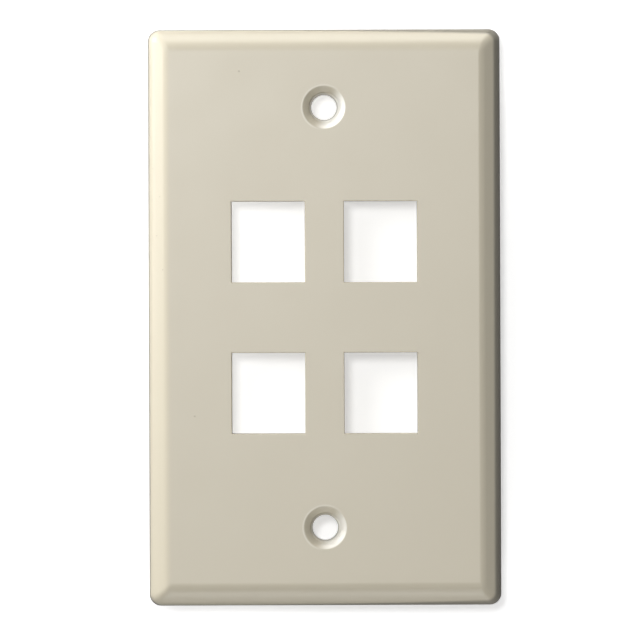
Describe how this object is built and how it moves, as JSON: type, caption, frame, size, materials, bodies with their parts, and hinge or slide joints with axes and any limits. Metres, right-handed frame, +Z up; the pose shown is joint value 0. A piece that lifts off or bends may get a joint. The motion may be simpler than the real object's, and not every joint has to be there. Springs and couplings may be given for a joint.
{
  "type": "keystone faceplate",
  "caption": "Flat wall plate with a bevelled edge and square windows that take snap-in keystone jacks, fixed by countersunk screws to a single-gang wall box.",
  "frame": {"origin": "centre of the plate on the wall's surface, midway between the two screw holes", "axes": "upright as fixed to a wall: +X to the right seen from the room, +Y into the wall, +Z up"},
  "size_m": [0.0698, 0.0097, 0.1142],
  "materials": {
    "ivory_plastic": "satin"
  },
  "bodies": {
    "root": {"faceplate": "ivory_plastic"}
  },
  "joints": []
}
